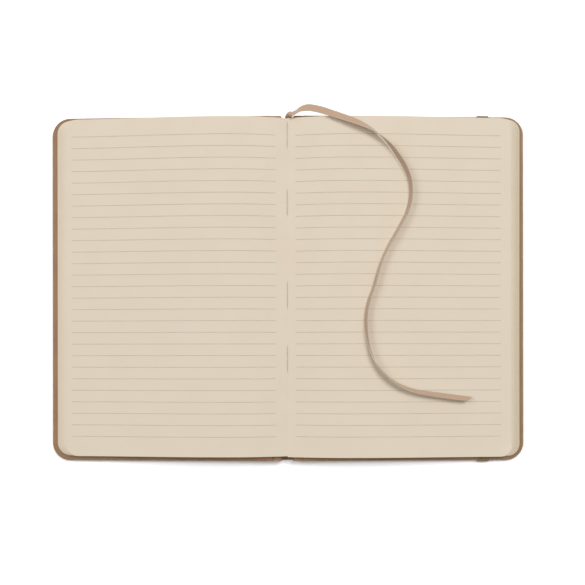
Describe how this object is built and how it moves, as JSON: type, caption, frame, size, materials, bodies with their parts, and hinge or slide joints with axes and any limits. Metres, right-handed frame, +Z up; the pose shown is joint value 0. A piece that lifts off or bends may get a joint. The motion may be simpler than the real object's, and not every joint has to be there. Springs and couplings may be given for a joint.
{
  "type": "hardcover ruled notebook",
  "caption": "Open hardcover notebook with ruled cream pages, a brown cover with rounded corners, a ribbon bookmark and an elastic closure band.",
  "frame": {"origin": "on the table under the middle of the spine, at the base of the open notebook's box", "axes": "+X across the open notebook towards the back cover, +Y along the spine towards the head, +Z up"},
  "size_m": [0.289, 0.2162, 0.0183],
  "materials": {
    "pages": "matt, uncoated cream paper",
    "ruling": "printed grey-beige line",
    "thread": "linen thread",
    "gauze": "glued gauze",
    "spine_card": "plain card",
    "cover_skin": "smooth matt brown covering",
    "greyboard": "plain board",
    "endpaper": "matt cream paper",
    "elastic": "woven elastic",
    "ribbon": "satin"
  },
  "bodies": {
    "pages": {"page_block": "pages", "page_ruling": "ruling", "sewing_thread": "thread", "spine_lining": "gauze", "spine_inlay": "spine_card", "spine_skin": "cover_skin", "ribbon_bookmark": "ribbon"},
    "front_cover": {"front_board": "greyboard", "front_cover_skin": "cover_skin", "front_pastedown": "endpaper"},
    "back_cover": {"back_board": "greyboard", "back_cover_skin": "cover_skin", "back_pastedown": "endpaper", "elastic_band": "elastic"}
  },
  "joints": [
    {"name": "front_cover_hinge", "type": "hinge", "parent": "pages", "child": "front_cover", "pos_m": [-0.0091, 0, 0.00545], "axis": [0, -1, 0], "range_deg": [0, 85]},
    {"name": "back_cover_hinge", "type": "hinge", "parent": "pages", "child": "back_cover", "pos_m": [0.0091, 0, 0.00545], "axis": [0, 1, 0], "range_deg": [0, 85]}
  ]
}
